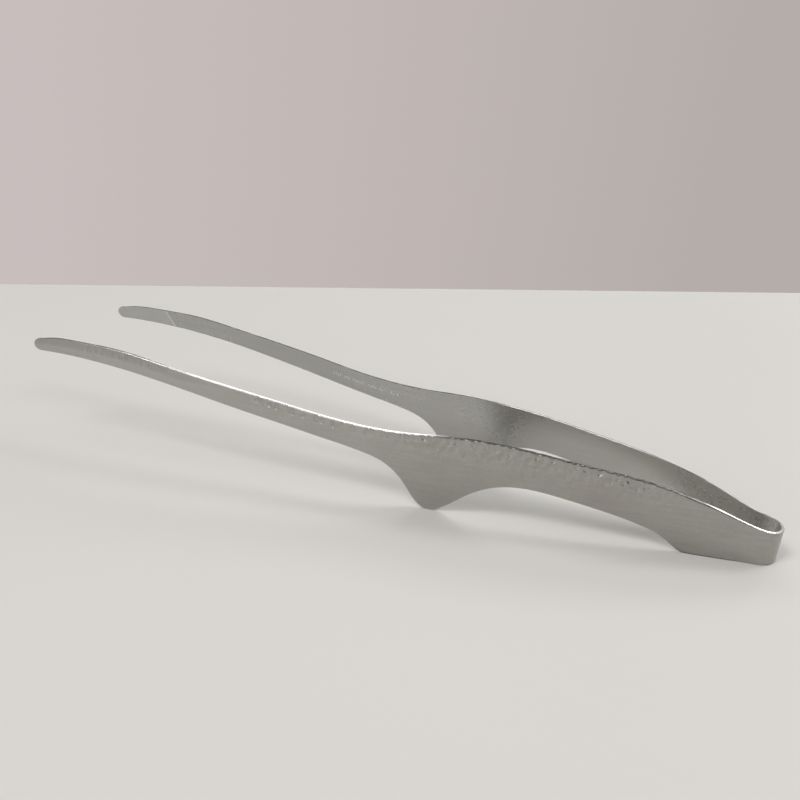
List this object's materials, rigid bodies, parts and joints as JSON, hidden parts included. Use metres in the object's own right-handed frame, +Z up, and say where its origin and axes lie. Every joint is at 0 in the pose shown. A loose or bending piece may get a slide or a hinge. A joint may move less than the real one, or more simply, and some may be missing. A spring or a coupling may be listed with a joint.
{
  "type": "print tongs",
  "caption": "Sprung one-strip stainless tongs: a U-bend heel, two hammered arms with deep finger lobes and slim rounded tips that close on thin, flat or wet things.",
  "frame": {"origin": "centre of the bounding box in plan, on the plane the tongs stand on", "axes": "+X along the length towards the U-bend, tips at -X; Y is the direction the jaws open, front arm at -Y and rear arm at +Y; +Z up, across the sheet's width"},
  "size_m": [0.24, 0.0494, 0.0324],
  "materials": {
    "sheet_steel": "satin stainless sheet, hammered on the outer faces, smooth inside, burnished edges"
  },
  "bodies": {
    "spring_bow": {"spring_bow": "sheet_steel"},
    "front_handle": {"front_handle": "sheet_steel"},
    "rear_handle": {"rear_handle": "sheet_steel"},
    "front_arm": {"front_arm": "sheet_steel"},
    "rear_arm": {"rear_arm": "sheet_steel"}
  },
  "joints": [
    {"name": "front_heel_flex", "type": "hinge", "parent": "spring_bow", "child": "front_handle", "pos_m": [0.106, -0.00739, 0.01], "axis": [0, 0, -1], "range_deg": [0, 3.35], "stiffness_Nm_per_rad": 6.8},
    {"name": "front_neck_flex", "type": "hinge", "parent": "front_handle", "child": "front_arm", "pos_m": [0.06904, -0.01231, 0.01], "axis": [0, 0, -1], "range_deg": [0, 3], "stiffness_Nm_per_rad": 4.4},
    {"name": "rear_heel_flex", "type": "hinge", "parent": "spring_bow", "child": "rear_handle", "pos_m": [0.106, 0.00739, 0.01], "axis": [0, 0, 1], "range_deg": [0, 3.35], "stiffness_Nm_per_rad": 6.8},
    {"name": "rear_neck_flex", "type": "hinge", "parent": "rear_handle", "child": "rear_arm", "pos_m": [0.06904, 0.01231, 0.01], "axis": [0, 0, 1], "range_deg": [0, 3], "stiffness_Nm_per_rad": 4.4}
  ],
  "couplings": [
    {"joint": "front_neck_flex", "follows": "front_heel_flex", "ratio": 0.885},
    {"joint": "rear_heel_flex", "follows": "front_heel_flex", "ratio": 1},
    {"joint": "rear_neck_flex", "follows": "front_heel_flex", "ratio": 0.885}
  ]
}
